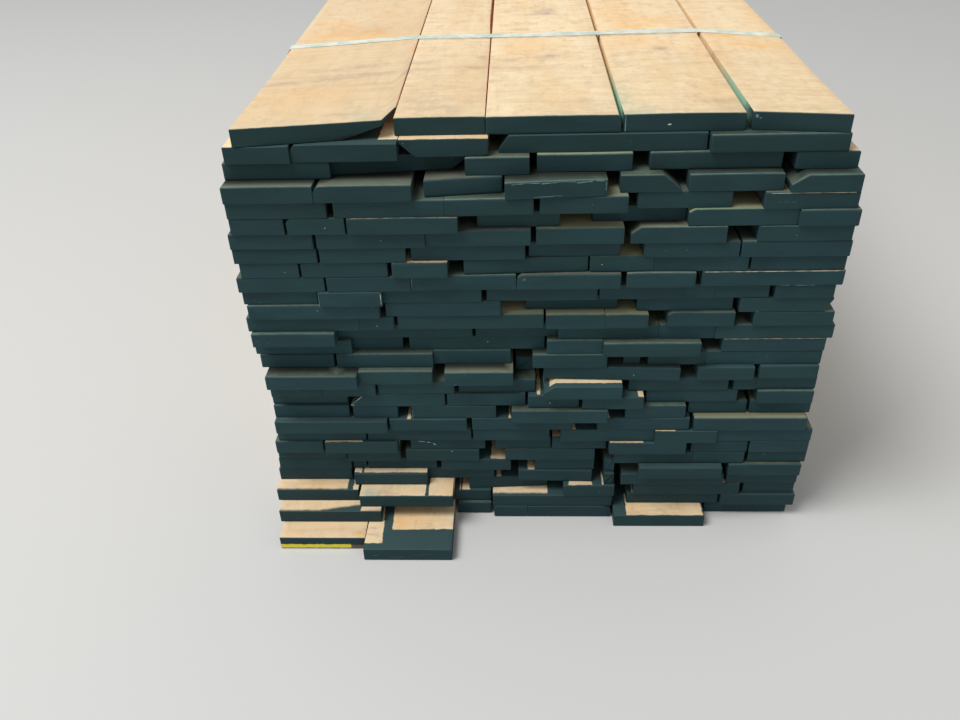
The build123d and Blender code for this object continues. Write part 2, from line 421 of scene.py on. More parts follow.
class BoardShape:
    """One board as rings of points along its length."""

    def __init__(self, board, course, index, count):
        detail = detail_of(course, index)
        section = board["section"]
        self.board = board
        self.number = index + 1
        self.on_top = course == TOP_COURSE
        self.outer = (index == 0, index == count - 1)
        self.tight = [gap < TIGHT_GAP and (course, joint) not in OPEN_JOINTS
                      for joint, gap in zip((index, index + 1), board["gaps"])]
        self.rng = np.random.default_rng([SEED, course, index])
        self.seed = self.rng.uniform(0, 200, 4)
        radii = self.rng.uniform(*CORNER_SPREAD, len(section)) * CORNER_RADIUS
        self.bends = board["near"][1:-1, 0]
        step = OUTLINE_STEP if detail == "plain" else FINE_OUTLINE_STEP
        self.ring = with_bends(outline(section, radii, step), self.bends)
        self.direction = self.ring - section.mean(axis=0)
        self.half = np.array([(board["high"] - board["low"]) / 2, (board["top"] - board["floor"]) / 2])
        unit = np.clip(self.direction / self.half, -1, 1)
        self.corner = np.sign(unit) * np.abs(unit) ** CORNER_POWER
        self.lay_rings(detail)

    def lay_rings(self, detail):
        """Repeats the outline from the near end, which may be skew, to the square far end."""
        near_y = near_at(self.board, self.ring[:, 0])
        length = self.board["far"] - self.board["near"][:, 1].min()
        self.along = stations(length, detail)
        self.from_end = np.minimum(self.along, length - self.along)
        share = self.along / length
        self.x = np.tile(self.ring[:, 0], (len(share), 1))
        self.z = np.tile(self.ring[:, 1], (len(share), 1))
        self.y = near_y[None, :] + share[:, None] * (self.board["far"] - near_y[None, :])

    def round_ends(self):
        """Pulls the corners of the outermost rings inward."""
        amount = self.rng.uniform(*END_ROUNDING) * MM
        outermost = [self.from_end < FIRST_RING, self.from_end < SECOND_RING]
        shrink = np.select(outermost, [1.0, SECOND_SHARE], 0.0) * amount
        left, right = (TIGHT_SHARE if tight else 1.0 for tight in self.tight)
        sideways = np.where(self.direction[:, 0] < 0, left, right)
        self.x -= shrink[:, None] * (self.corner[:, 0] * sideways)[None, :]
        self.z -= shrink[:, None] * self.corner[None, :, 1]

    def wander_edge(self, k):
        """Lets the left edge, number 0, or the right edge, number 1, wander along the board."""
        side = (-1, 1)[k]
        outer = self.outer[k]
        amount = OUTER_WANDER if outer else TOP_WANDER if self.on_top else INNER_WANDER
        place, row = self.seed[k], self.seed[k + 1]
        wander = 0.5 + 0.5 * NOISE(self.along * SLOW_WANDER + place, row)
        wander += QUICK_SHARE * (0.5 + 0.5 * NOISE(self.along * QUICK_WANDER + place, row + ROW_APART))
        if outer:
            wander = wander * smoothstep(0, OUTER_CALM, self.from_end)
        else:
            wander = wander * (CALM_SHARE + (1 - CALM_SHARE) * smoothstep(0, INNER_CALM, self.from_end))
        if self.tight[k] or (self.on_top and not outer):
            closed = 1 if self.on_top else 1 - smoothstep(CLOSED_END, CLOSED_FADE, self.from_end)
            reach = min(self.board["gaps"][k] / 2 - LEAST_SEAM, MOST_CLOSING)
            wander = wander * (TIGHT_SHARE if self.on_top else 1 - closed) - closed * reach / amount
        if self.on_top and side == 1 and self.number in SEAMS:
            wander = wander + np.interp(self.along, *SEAMS[self.number]) / amount
        weight = np.clip(side * self.direction[:, 0] / self.half[0], 0, 1)[None, :] ** EDGE_POWER
        self.x -= side * amount * wander[:, None] * weight

    def cup(self):
        """Makes the board a little thinner in places and hollow or domed across its width."""
        low, high = self.board["low"], self.board["high"]
        across = (self.ring[:, 0] - low) / (high - low)
        upper = np.clip(self.direction[:, 1] / self.half[1], 0, 1) ** 2
        lower = np.clip(-self.direction[:, 1] / self.half[1], 0, 1) ** 2
        thin = self.rng.uniform(*THINNING) * MM
        cup = self.rng.uniform(*CUPPING) * MM
        waves = NOISE(self.along[:, None] * THIN_WAVES[0] + self.seed[2],
                      across[None, :] * THIN_WAVES[1] + self.seed[3])
        dip = thin * (THIN_LEVEL + THIN_SWING * waves)
        bow = 4 * (across - 0.5) ** 2
        dip = dip + abs(cup) * (bow if cup > 0 else 1 - bow)[None, :]
        self.z -= np.maximum(dip, 0) * upper[None, :]
        self.z += UNDER_SHARE * np.maximum(dip, 0) * lower[None, :]

    def cap(self, outer, first, start, at_near_end):
        """One end's inner ring and faces; the outer ring's points start at first, the inner's at start."""
        count = len(self.ring)
        inner = outer.copy()
        inner[:, 0] -= CAP_INSET * self.corner[:, 0]
        inner[:, 2] -= CAP_INSET * self.corner[:, 1] + CAP_EXTRA * CAP_INSET * np.sign(self.direction[:, 1])
        inner[:, 1] = near_at(self.board, inner[:, 0]) if at_near_end else self.board["far"]
        faces = []
        for i in range(count):
            ahead = (i + 1) % count
            faces.append((first + i, start + i, start + ahead, first + ahead))
        limits = [-FAR, *(self.bends if at_near_end else []), FAR]
        for low, high in zip(limits, limits[1:]):
            between = (self.ring[:, 0] > low - ON_BEND) & (self.ring[:, 0] < high + ON_BEND)
            faces.append(tuple(start + i for i in np.flatnonzero(between).tolist()))
        if not at_near_end:
            faces = [face[::-1] for face in faces]
        return inner, faces

    def mesh(self):
        """The board's points, its faces and each face's material."""
        points = np.stack([self.x, self.y, self.z], axis=-1).reshape(-1, 3)
        rings, count = self.x.shape
        faces = []
        for j in range(rings - 1):
            for i in range(count):
                ahead = (i + 1) % count
                here, there = j * count, (j + 1) * count
                faces.append((here + i, here + ahead, there + ahead, there + i))
        kinds = [WOOD] * len(faces)
        last = (rings - 1) * count
        near_ring, near_faces = self.cap(points[:count], 0, len(points), True)
        far_ring, far_faces = self.cap(points[last:], last, len(points) + count, False)
        kinds += [SEALED] * (len(near_faces) + len(far_faces))
        return np.concatenate([points, near_ring, far_ring]), faces + near_faces + far_faces, kinds


def board_mesh(board, course, index, count):
    """One board's points, faces, face materials and seeds."""
    shape = BoardShape(board, course, index, count)
    shape.round_ends()
    shape.wander_edge(0)
    shape.wander_edge(1)
    shape.cup()
    return *shape.mesh(), shape.seed


# What the materials read at each point of a board

LOOKS_STREAM = 99  # keeps these random draws apart from those of the shapes
NARROW_LEDGE = 12 * MM
DEEP_LEDGE = 26 * MM
DEEPEST_LEDGE = 55 * MM
DEEPEST_SHARE = 2
WINDOW_NAMES = ("window_a", "window_b", "window_c")
LEAST_RIM, FULL_RIM = 0.15, 0.5  # shades over which the pale line along the front edge sets in

# Where the solid sealer ends on a top, behind its front edge, and how soft its end is
USUAL_EDGE = (2.0, 3.5)  # millimetres, least and most
CRISP_EDGE = 1.5 * MM
WIDE_EDGE = 12 * MM
USUAL_SOFTNESS = (0.8, 2.5)
CRISP_SOFTNESS = 1.0
WIDE_SOFTNESS = 3.0
FADED_SOFTNESS = 4.0

# How strong and how pale the spray behind it is, and how far it reaches
USUAL_HAZE = (0.88, 1.0)
FAINT_HAZE = (0.05, 0.2)
DARK_SHADES = (0.0, 0.2)
USUAL_REACH = 380 * MM
PALE_REACH = 520 * MM
FAINT_REACH = 55 * MM
USUAL_LAP = (30, 170)  # millimetres that the sealer reaches along the sides, least and most


def rows(size, *columns):
    """Columns side by side, one row a point. A column is an array, or one number for all points."""
    return np.stack([np.broadcast_to(np.asarray(column, float), size) for column in columns], -1)


def ledge_depth(x, near, above):
    """How far each top lies open in front of the board above it, or 0 where there is none."""
    depth = np.zeros(len(x))
    for b in above:
        wall = near_at(b, x)
        under = (x > b["low"]) & (x < b["high"])
        depth = np.where(under, np.clip(wall - near, 0, DEEPEST_LEDGE), depth)
    return depth


def board_looks(key, rng):
    """How one board is painted and sprayed."""
    look = SimpleNamespace()
    look.front = rng.uniform(*USUAL_EDGE) * MM
    look.soft = rng.uniform(*USUAL_SOFTNESS)
    look.haze = rng.uniform(*USUAL_HAZE)
    look.shade = rng.uniform(*DARK_SHADES)
    look.reach = USUAL_REACH
    if key in SHADES:
        look.front = CRISP_EDGE
        look.haze = 1.0
        look.shade = SHADES[key]
        look.reach = PALE_REACH
    elif key in PAINTED:
        look.front = WIDE_EDGE
        look.soft = WIDE_SOFTNESS
    elif key in BARE:
        look.haze = rng.uniform(*FAINT_HAZE)
        look.reach = FAINT_REACH
    if key[0] == TOP_COURSE or key in WINDOWS:
        look.front = CRISP_EDGE
        look.soft = FADED_SOFTNESS if key in FADED else CRISP_SOFTNESS
        look.haze = 0.0
    look.lap = rng.uniform(*USUAL_LAP) * MM
    look.tone = (-1.0, -1.0, -1.0) if key in PALE else rng.uniform(-1, 1, 3)
    look.rim = 1.0 if key in RIMMED else smoothstep(LEAST_RIM, FULL_RIM, look.shade)
    return look


def window_distances(x, y, behind_edge, key):
    """How far inside a top's bare windows each point lies, from their left, right and front edges.

    The points are in the readings' millimetres. A top without windows is one window behind its painted
    edge, and windows that aren't there are shut.
    """
    found = []
    for left, right, front, lean, rise, *depth in WINDOWS.get(key, []):
        drift = lean * (y - front)
        into = x - left - drift
        if depth:
            into = np.minimum(into, front + depth[0] - y)
        ahead = y - front - rise * (x - left)
        found.append(rows(len(x), into, right + drift - x, ahead) * MM)
    if not found:
        found.append(rows(len(x), x + FAR, FAR - x, behind_edge / MM) * MM)
    shut = np.full((len(x), 3), -1.0)
    return found + [shut] * (len(WINDOW_NAMES) - len(found))


def top_sides(left_half, number):
    """How far the sealer reaches along a top board's sides, and which of them are reddish."""
    lap = np.where(left_half, LONG_LAPS.get(number, SHORT_LAP), SHORT_LAP)
    reddish = np.where(left_half, (number, "left") in REDDISH, (number, "right") in REDDISH)
    return lap, reddish


def attributes(verts, board, above, course, index, seed):
    """What the materials read at each point, by name."""
    size = len(verts)
    number = index + 1
    key = (course, number)
    on_top = course == TOP_COURSE
    look = board_looks(key, np.random.default_rng([SEED, LOOKS_STREAM, course, index]))
    x, y, z = verts.T
    near = near_at(board, x)
    behind = y - near
    before = board["far"] - y
    height = z - board["floor"]
    from_left = x - board["low"]
    left_half = x < (board["low"] + board["high"]) / 2
    lap, reddish = top_sides(left_half, number) if on_top else (look.lap, 0)

    # How deep each ledge lies open under the board above; this sets the painted shade at the ledge's back
    depth = ledge_depth(x, near, above)
    inward = np.clip(np.minimum(behind, before) / np.maximum(depth, NARROW_LEDGE), 0, DEEPEST_SHARE)
    dirty = smoothstep(NARROW_LEDGE, DEEP_LEDGE, depth)

    read_x = x / MM + MIDDLE_X
    read_y = y / MM + MIDDLE_Y
    spots = np.zeros((size, 3))
    if on_top or key in MARKED:
        kinds = (SMUDGES_AND_STRAP_SHADOW, AMBER, OVERSPRAY)
        spots = rows(size, *(marks(read_x, read_y, kind.get(course, [])) for kind in kinds))
    windows = window_distances(read_x, read_y, behind - look.front, key)
    return {
        "own": rows(size, from_left + seed[0], behind + seed[1], height + seed[2]),
        "ends": rows(size, behind, before, height),
        "paint": rows(size, look.soft, lap, reddish),
        "tone": rows(size, *look.tone),
        "spots": spots,
        "stripe": rows(size, STRIPE_REACH - from_left, height, key == STRIPED),
        "mist": rows(size, look.haze, look.reach, on_top),
        "spray": rows(size, look.shade, (course - 1) / (COURSES - 1), look.rim),
        "ledge": rows(size, inward, dirty, 0),
        **dict(zip(WINDOW_NAMES, windows)),
    }


# The pieces

SHARP_ANGLE = math.radians(38)


def add_piece(name, mesh, materials, kinds):
    """A mesh as an object of the scene, each face with its own of the materials."""
    for material in materials:
        mesh.materials.append(material)
    mesh.polygons.foreach_set("material_index", kinds)
    piece = bpy.data.objects.new(name, mesh)
    bpy.context.scene.collection.objects.link(piece)
    return piece


def build_course(name, boards, above, course, materials):
    """All boards of one course as one piece."""
    verts, faces, kinds, values = [], [], [], {}
    total = 0
    for index, board in enumerate(boards):
        points, own_faces, own_kinds, seed = board_mesh(board, course, index, len(boards))
        for label, own in attributes(points, board, above, course, index, seed).items():
            values.setdefault(label, []).append(own)
        faces += [tuple(total + i for i in face) for face in own_faces]
        kinds += own_kinds
        verts.append(points)
        total += len(points)
    mesh = bpy.data.meshes.new(name)
    mesh.from_pydata(np.concatenate(verts).tolist(), [], faces)
    mesh.polygons.foreach_set("use_smooth", [True] * len(faces))
    for label, parts in values.items():
        layer = mesh.attributes.new(label, "FLOAT_VECTOR", "POINT")
        layer.data.foreach_set("vector", np.concatenate(parts).astype(np.float32).ravel())
    piece = add_piece(name, mesh, materials, kinds)
    mesh.update()
    mesh.validate()
    mesh.set_sharp_from_angle(angle=SHARP_ANGLE)
    return piece


# Small flakes on the board ends: (course, board, distance from the board's left edge, height over its
# underside, half width, half height, turn in degrees, kind), lengths in millimetres
FLAKES = [
    (1, 4, 68, 11.5, 3.6, 1.4, 8, "pale"), (1, 1, 168, 5, 7, 2.6, 12, "dark"),
    (1, 1, 156, 3, 5, 1.6, 20, "dark"), (1, 1, 179, 8, 5, 2.0, 25, "dark"),
    (5, 6, 38, 12, 9, 0.7, 2, "faint"), (5, 6, 32, 13.5, 4, 0.6, 30, "faint"),
    (5, 6, 22, 12, 3, 0.6, -10, "faint"), (4, 4, 60, 3.5, 15, 0.7, 1, "teal"),
    (4, 4, 82, 4.5, 8, 0.5, -3, "teal"), (9, 5, 20, 14, 1.2, 0.9, 0, "pale"),
    (6, 2, 61, 12, 1.2, 0.8, 0, "pale"), (23, 3, 22, 18.5, 6.0, 0.6, -4, "pale"),
    (23, 3, 35, 16.5, 5.0, 0.7, -14, "pale"), (23, 3, 46, 12, 4.0, 0.9, -35, "pale"),
    (24, 2, 98, 25, 1.2, 0.9, 0, "pale"), (24, 3, 90, 24.5, 1.4, 0.8, 10, "pale"),
    (29, 2, 22, 12, 5, 1.0, 0, "faint"), (29, 2, 62, 8, 14, 0.7, 2, "faint"),
    (29, 2, 110, 14, 20, 0.6, 1, "faint"), (10, 4, 12, 20, 6, 3.0, 30, "faint"),
    (13, 2, 30, 10, 1.0, 0.8, 0, "pale"), (15, 3, 140, 16, 1.4, 0.9, 10, "pale"),
    (19, 4, 40, 12, 1.2, 1.0, 0, "pale"), (12, 1, 120, 18, 1.0, 0.7, 0, "pale"),
    (17, 5, 160, 12, 1.4, 0.8, 0, "pale"), (4, 4, 20, 25.5, 9, 1.0, 4, "teal"),
    (4, 4, 42, 26.3, 12, 0.8, -3, "teal"), (4, 4, 68, 25.6, 12, 1.0, 3, "teal"),
    (4, 4, 95, 26.6, 14, 0.8, -2, "teal"), (4, 4, 122, 25.2, 12, 1.1, 4, "teal"),
    (4, 4, 146, 26.4, 9, 1.2, -5, "teal"), (4, 4, 155, 18, 0.8, 7, 0, "teal"),
    (1, 4, 1.6, 14, 0.8, 12, 0, "teal"), (1, 5, 4, 22, 3.0, 3.2, 0, "teal"),
    (1, 5, 10, 19, 2.2, 1.0, 20, "teal"), (11, 2, 1.2, 14, 0.5, 12, 0, "teal"),
    (11, 2, 105.6, 15, 0.6, 10, 0, "pale"), (10, 3, 1.2, 15, 0.5, 10, 0, "teal"),
    (20, 3, 1.0, 10, 0.5, 9, 0, "teal"), (19, 2, 13, 14.6, 13, 0.6, 41, "pale"),
    (19, 2, 3, 3.6, 4, 0.6, -20, "pale"), (15, 6, 89, 26.6, 86, 0.6, 0, "bare"),
    (5, 6, 72, 26.9, 64, 0.45, 0, "bare"), (10, 6, 116, 26.9, 112, 0.7, 0, "bare"),
    (11, 8, 14, 26.4, 8, 0.5, 0, "pale"), (11, 8, 46, 26.4, 16, 0.5, 0, "pale"),
    (7, 6, 34, 26.9, 28, 0.35, 0, "teal"),
]
FLAKE_STREAM = 5
FLAKE_PROUD = 0.25 * MM
BLOB_SIDES = 11
BLOB_REACH = (0.55, 1.1)
STRIP_RATIO = 8  # a flake this much longer than wide is a strip
STRIP_STEP = 3
LEAST_STRIP_POINTS = 4
STRIP_WIDTH = (0.25, 1.0)


def ragged_outline(half_x, half_z, rng):
    """A flake's corners round its middle: a blob, or a strip of wandering width if it is long."""
    if half_x < STRIP_RATIO * half_z and half_z < STRIP_RATIO * half_x:
        reaches = rng.uniform(*BLOB_REACH, BLOB_SIDES)
        angles = [2 * math.pi * i / BLOB_SIDES for i in range(BLOB_SIDES)]
        return [(half_x * r * math.cos(a), half_z * r * math.sin(a)) for r, a in zip(reaches, angles)]
    half = max(half_x, half_z)
    along = np.linspace(-half, half, max(LEAST_STRIP_POINTS, int(half / STRIP_STEP)))
    wide = min(half_x, half_z) * rng.uniform(*STRIP_WIDTH, len(along))
    points = [*zip(along, -wide), *zip(along[::-1], wide[::-1])]
    return points if half_x > half_z else [(-v, u) for u, v in points]


def build_flakes(boards_by_course, materials):
    """All the flakes as one piece, each a flat ragged patch just in front of its board's end."""
    rng = np.random.default_rng([SEED, FLAKE_STREAM])
    verts, faces, kinds = [], [], []
    for course, number, across, height, half_x, half_z, turn, kind in FLAKES:
        board = boards_by_course[course][number - 1]
        c, s = math.cos(math.radians(turn)), math.sin(math.radians(turn))
        start = len(verts)
        for u, v in ragged_outline(half_x, half_z, rng):
            x = board["low"] + (across + u * c - v * s) * MM
            z = board["floor"] + (height + u * s + v * c) * MM
            verts.append((x, float(near_at(board, x)) - FLAKE_PROUD, z))
        faces.append(tuple(range(start, len(verts))))
        kinds.append(list(materials).index(kind))
    mesh = bpy.data.meshes.new("end_flakes")
    mesh.from_pydata(verts, [], faces)
    return add_piece("end_flakes", mesh, materials.values(), kinds)


# How far each strap strays from its straight line across the top: places along X and shifts along Y
STRAYS = {
    "strap_near": ((-0.465, -0.340, -0.235, 0.0, 0.180, 0.320, 0.461),
                   (-0.033, -0.006, 0.021, 0.020, 0.026, 0.028, -0.021)),
    "strap_far": ((-0.465, -0.200, 0.050, 0.300, 0.461), (0.018, -0.010, -0.016, -0.002, 0.020)),
}
STRAP_STEPS = ((0, 12 * MM), (2, 40 * MM))  # the axes across which a strap is divided, and how finely
STRAY_START = 0.1  # share of the height at which a strap starts to stray


def make_strap(name, material):
    """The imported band, divided finely, with its sideways stray over the top."""
    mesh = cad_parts[name].data.copy()
    mesh.name = f"band_{name}"
    shape = bmesh.new()
    shape.from_mesh(mesh)
    points = np.array([v.co for v in shape.verts])
    low, high = points.min(axis=0), points.max(axis=0)
    for axis, step in STRAP_STEPS:
        normal = Vector([1.0 if k == axis else 0.0 for k in range(3)])
        for place in np.arange(low[axis] + step, high[axis] - 1 * MM, step):
            geometry = [*shape.verts, *shape.edges, *shape.faces]
            bmesh.ops.bisect_plane(shape, geom=geometry, plane_co=normal * place, plane_no=normal)
    for v in shape.verts:
        height = float(smoothstep(STRAY_START * high[2], high[2], v.co.z))
        v.co.y += float(np.interp(v.co.x, *STRAYS[name])) * height
    shape.to_mesh(mesh)
    shape.free()
    mesh.materials.clear()
    return add_piece(mesh.name, mesh, [material], [0] * len(mesh.polygons))


# Colours

def linear(r, g, b):
    """A display colour, 0 to 255, as the linear colour that shaders take."""
    def one(v):
        v /= 255
        return v / 12.92 if v <= 0.04045 else ((v + 0.055) / 1.055) ** 2.4
    return (one(r), one(g), one(b), 1.0)


SEALER = linear(40, 71, 75)
SEALER_LIGHT = linear(62, 88, 88)
SEALER_DEEP = linear(34, 61, 65)
SEALER_BLUE = linear(39, 60, 68)
SEALER_GREEN = linear(39, 66, 63)
SEALER_TOP_COURSES = linear(32, 50, 50)
SEALER_DARK = linear(24, 44, 50)
# Painted light: a lighter, bluer sealer for upward faces, as if lit from above
SEALER_PAINTED_LIGHT = linear(84, 108, 106)
CHIP = linear(190, 200, 186)
STRIPE_YELLOW = linear(228, 212, 66)
STRIPE_SOIL = linear(122, 94, 76)
SPRAY_DARK = linear(54, 72, 66)
SPRAY = linear(79, 94, 84)
SPRAY_CREAM = linear(200, 190, 148)
SPRAY_FRINGE = linear(104, 132, 108)
SPRAY_PALE = linear(158, 178, 160)
SPRAY_RIM = linear(112, 134, 123)
SPRAY_TEAL = linear(138, 200, 178)
# Painted shade at the back of deep ledges, towards the board above
LEDGE_SHADE_COLOUR = linear(30, 34, 28)
WOOD_PALE = linear(243, 223, 187)
WOOD_WARM = linear(238, 211, 169)
WOOD_TAN = linear(230, 200, 158)
WOOD_DULL = linear(206, 178, 142)
WOOD_DRAB = linear(184, 158, 128)
WOOD_FLECK = linear(120, 88, 60)
# Reddish wood, partly painted light: bright enough to stand in for the light on the seam walls
WOOD_RED_PAINTED_LIGHT = linear(248, 200, 176)
WEATHERED = linear(200, 178, 138)
AMBER_STAIN = linear(236, 184, 116)
GREY_SMUDGE_AND_SHADOW = linear(168, 146, 138)
STRAP_PALE = linear(230, 235, 222)
STRAP_GREEN = linear(192, 207, 192)
FLOOR = linear(206, 206, 204)
FLAKE_COLOURS = {
    "pale": linear(196, 202, 184),
    "dark": linear(20, 28, 30),
    "bare": linear(214, 200, 168),
    "faint": linear(66, 90, 86),
    "teal": linear(98, 138, 127),
}


# Materials

class Tree:
    """A material's nodes, with short ways to add and join them."""

    def __init__(self, name):
        self.material = bpy.data.materials.new(name)
        self.material.use_nodes = True
        self.tree = self.material.node_tree
        self.tree.nodes.clear()
        self.output = self.tree.nodes.new("ShaderNodeOutputMaterial")

    def add(self, kind, inputs=None, **settings):
        node = self.tree.nodes.new("ShaderNode" + kind)
        for key, value in settings.items():
            setattr(node, key, value)
        for key, value in (inputs or {}).items():
            self.put(node.inputs[key], value)
        return node

    def put(self, socket, value):
        if isinstance(value, bpy.types.NodeSocket):
            self.tree.links.new(value, socket)
        else:
            socket.default_value = value

    def read(self, label):
        return self.add("Attribute", attribute_name=label, attribute_type="GEOMETRY").outputs["Vector"]

    def split(self, vector):
        return self.add("SeparateXYZ", {0: vector}).outputs

    def math(self, operation, a, b):
        return self.add("Math", {0: a, 1: b}, operation=operation).outputs[0]

    def times(self, first, *others):
        """The product of two or more values."""
        for other in others:
            first = self.math("MULTIPLY", first, other)
        return first

    def without(self, value):
        """What the value leaves of 1."""
        return self.math("SUBTRACT", 1.0, value)

    def noise(self, vector, scale, detail=2.0, rough=0.5, distortion=0.0):
        scaled = self.add("VectorMath", {0: vector, 1: scale}, operation="MULTIPLY").outputs[0]
        return self.add("TexNoise", {"Vector": scaled, "Scale": 1.0, "Detail": detail, "Roughness": rough,
                                     "Distortion": distortion}).outputs[0]

    def waver(self, vector, scale, width):
        """A noise that strays from 0 to both sides, over the width given."""
        return self.times(self.math("SUBTRACT", self.noise(vector, scale, 3, 0.6), 0.5), width)

    def ramp(self, value, low, high, out_low=0.0, out_high=1.0, smooth=True):
        return self.add("MapRange", {0: value, 1: low, 2: high, 3: out_low, 4: out_high},
                        interpolation_type="SMOOTHSTEP" if smooth else "LINEAR").outputs[0]

    def mix(self, share, a, b):
        """Colour a, with a share of colour b over it."""
        return self.add("Mix", {0: share, 6: a, 7: b}, data_type="RGBA").outputs[2]

    def blend(self, share, a, b):
        """Number a, with a share of number b over it."""
        return self.add("Mix", {0: share, 2: a, 3: b}, data_type="FLOAT").outputs[0]

    def bump(self, relief, distance, strength=0.4):
        return self.add("Bump", {"Strength": strength, "Distance": distance, "Height": relief}).outputs[0]

    def finish(self, **sockets):
        shader = self.add("BsdfPrincipled")
        for key, value in sockets.items():
            self.put(shader.inputs[key.replace("_", " ")], value)
        self.tree.links.new(shader.outputs[0], self.output.inputs[0])
        return self.material


def sealer_colour(t, own, tone):
    """Uneven blue-green wax sealer, its own shade on each board, darker on the top and bottom courses."""
    tones = t.split(tone)
    depth = t.split(t.read("spray"))[1]
    cloud = t.noise(own, (9, 9, 30), 3, 0.6)
    streak = t.noise(own, (30, 30, 420), 2, 0.6)
    colour = t.mix(t.ramp(cloud, 0.3, 0.75), SEALER, SEALER_DEEP)
    colour = t.mix(t.ramp(streak, 0.6, 0.85, 0, 0.2), colour, SEALER_LIGHT)
    colour = t.mix(t.ramp(tones[0], -1, 1, 0, 0.25, smooth=False), colour, SEALER_BLUE)
    colour = t.mix(t.ramp(tones[2], -0.2, 1, 0, 0.3, smooth=False), colour, SEALER_GREEN)
    # Darker towards the top and the bottom courses
    colour = t.mix(t.ramp(depth, 0, 0.35, 0.45, 0), colour, SEALER_TOP_COURSES)
    return t.mix(t.ramp(depth, 0.6, 1.0, 0, 0.4), colour, SEALER_DARK)


# The yellow stripe's edges, in metres over the board's underside, and how ragged they are
STRIPE_LOWER = (0.0015, 0.0025)
STRIPE_UPPER = (0.0105, 0.0120)
STRIPE_END = (0, 0.002)
STRIPE_RAGGED = 0.006
SOIL_UPPER = (0.009, 0.011)
SOIL_STRENGTH = 0.8


def with_stripe(t, own, colour):
    """The colour with a striped board's ragged yellow stripe and the soiled wood under it."""
    inside, height, striped = t.split(t.read("stripe"))
    ragged = t.waver(own, (90, 90, 250), STRIPE_RAGGED)
    level = t.math("ADD", height, ragged)
    band = t.times(t.ramp(level, *STRIPE_LOWER), t.ramp(level, *STRIPE_UPPER, 1, 0),
                   t.ramp(t.math("ADD", inside, ragged), *STRIPE_END))
    soiled = t.times(t.ramp(level, *SOIL_UPPER, SOIL_STRENGTH, 0), striped)
    colour = t.mix(soiled, colour, STRIPE_SOIL)
    return t.mix(t.times(band, striped), colour, STRIPE_YELLOW)


def board_end_material():
    """Sealed end grain with saw marks and small chips."""
    t = Tree("sealed_end")
    own = t.read("own")
    colour = sealer_colour(t, own, t.read("tone"))
    chips = t.noise(own, (210, 210, 380), 1, 0.5)
    colour = t.mix(t.ramp(chips, 0.82, 0.85, 0, 0.8), colour, CHIP)
    colour = with_stripe(t, own, colour)
    saw = t.noise(own, (70, 70, 1400), 2, 0.6)
    grain = t.noise(own, (500, 500, 500), 2, 0.7)
    relief = t.math("ADD", t.times(saw, 0.6), t.times(grain, 0.5))
    return t.finish(Base_Color=colour, Roughness=t.ramp(grain, 0.3, 0.7, 0.55, 0.72),
                    Normal=t.bump(relief, 0.0007), Specular_IOR_Level=0.18)


# Layers of the wood's look: the noise with its scale along X, Y and Z, detail, roughness and distortion,
# then where it sets in, where it is full, its strength there and its colour
WOOD_LAYERS = {
    "patch": (((6, 3.5, 6), 4, 0.65, 0.0), 0.47, 0.70, 0.65, linear(240, 198, 142)),
    "figure": (((45, 3.0, 45), 2, 0.55, 1.2), 0.5, 0.72, 0.16, linear(208, 170, 130)),
    "fibre": (((600, 18, 600), 2, 0.6, 0.0), 0.5, 0.8, 0.10, linear(186, 152, 118)),
    "smear": (((5, 34, 5), 3, 0.6, 0.4), 0.52, 0.74, 0.5, linear(208, 178, 142)),
    "fuzz": (((9, 110, 9), 3, 0.7, 0.0), 0.5, 0.72, 0.4, linear(202, 174, 140)),
    "mottle": (((48, 36, 48), 5, 0.75, 0.0), 0.48, 0.70, 0.6, linear(204, 174, 138)),
    "score": (((16, 300, 16), 3, 0.6, 0.0), 0.56, 0.72, 0.3, linear(184, 152, 114)),
}


def wood_colour(t, own, tone):
    """Pale rough-sawn hardwood with lengthwise grain and the saw's cross marks; also gives its fibres."""
    tan, dull, drab = t.split(tone)
    broad = t.noise(own, (14, 1.6, 14), 4, 0.6, 0.6)
    colour = t.mix(t.ramp(broad, 0.3, 0.7), WOOD_PALE, WOOD_WARM)
    noises = {}
    for name, (noise, sets_in, full, strength, tint) in WOOD_LAYERS.items():
        noises[name] = t.noise(own, *noise)
        colour = t.mix(t.ramp(noises[name], sets_in, full, 0, strength), colour, tint)
    colour = t.mix(t.ramp(tan, -1, 1, 0, 0.22, smooth=False), colour, WOOD_TAN)
    colour = t.mix(t.ramp(dull, -1, 1, 0, 0.18, smooth=False), colour, WOOD_DULL)
    flecks = t.noise(own, (130, 45, 130), 1, 0.5)
    colour = t.mix(t.ramp(flecks, 0.80, 0.84, 0, 0.6), colour, WOOD_FLECK)
    return t.mix(t.ramp(drab, 0.2, 1, 0, 0.22, smooth=False), colour, WOOD_DRAB), noises["fibre"]


# Where the body's layers of paint, weathering and painted shade begin and end, in metres from the nearest
# end
WEATHER_FADE = (0.12, 0.55)
LEDGE_SHADE_FADE = (0.08, 0.16)
RIM_FADE = (0.0025, 0.007)
FRINGE_FADE = (0.004, 0.018)
EDGE_COAT = (0.0012, 0.0022)
FAR_COAT = (0.002, 0.004)

# The edge of a bare window, in metres, and how far it wavers
WINDOW_EDGE = (-0.0006, 0.0014)
WINDOW_WAVER = 0.006


def board_readings(t):
    """What the wood's material reads at each point."""
    at = SimpleNamespace(own=t.read("own"), tone=t.read("tone"))
    near, at.far = t.split(t.read("ends"))[:2]
    at.nearest = t.math("MINIMUM", near, at.far)
    at.soft, at.side_lap, at.reddish = t.split(t.read("paint"))
    at.haze, at.reach, at.on_top = t.split(t.read("mist"))
    spray = t.split(t.read("spray"))
    at.shade = spray[0]
    at.rim = spray[2]
    at.smudge, at.amber, at.overspray = t.split(t.read("spots"))
    at.inward, at.dirty = t.split(t.read("ledge"))[:2]
    at.upward = t.ramp(t.split(t.add("NewGeometry").outputs["True Normal"])[2], 0.5, 0.8)
    at.cloud = t.noise(at.own, (45, 45, 45), 3, 0.65)
    at.creamy = t.ramp(at.shade, 0.6, 0.9)
    return at


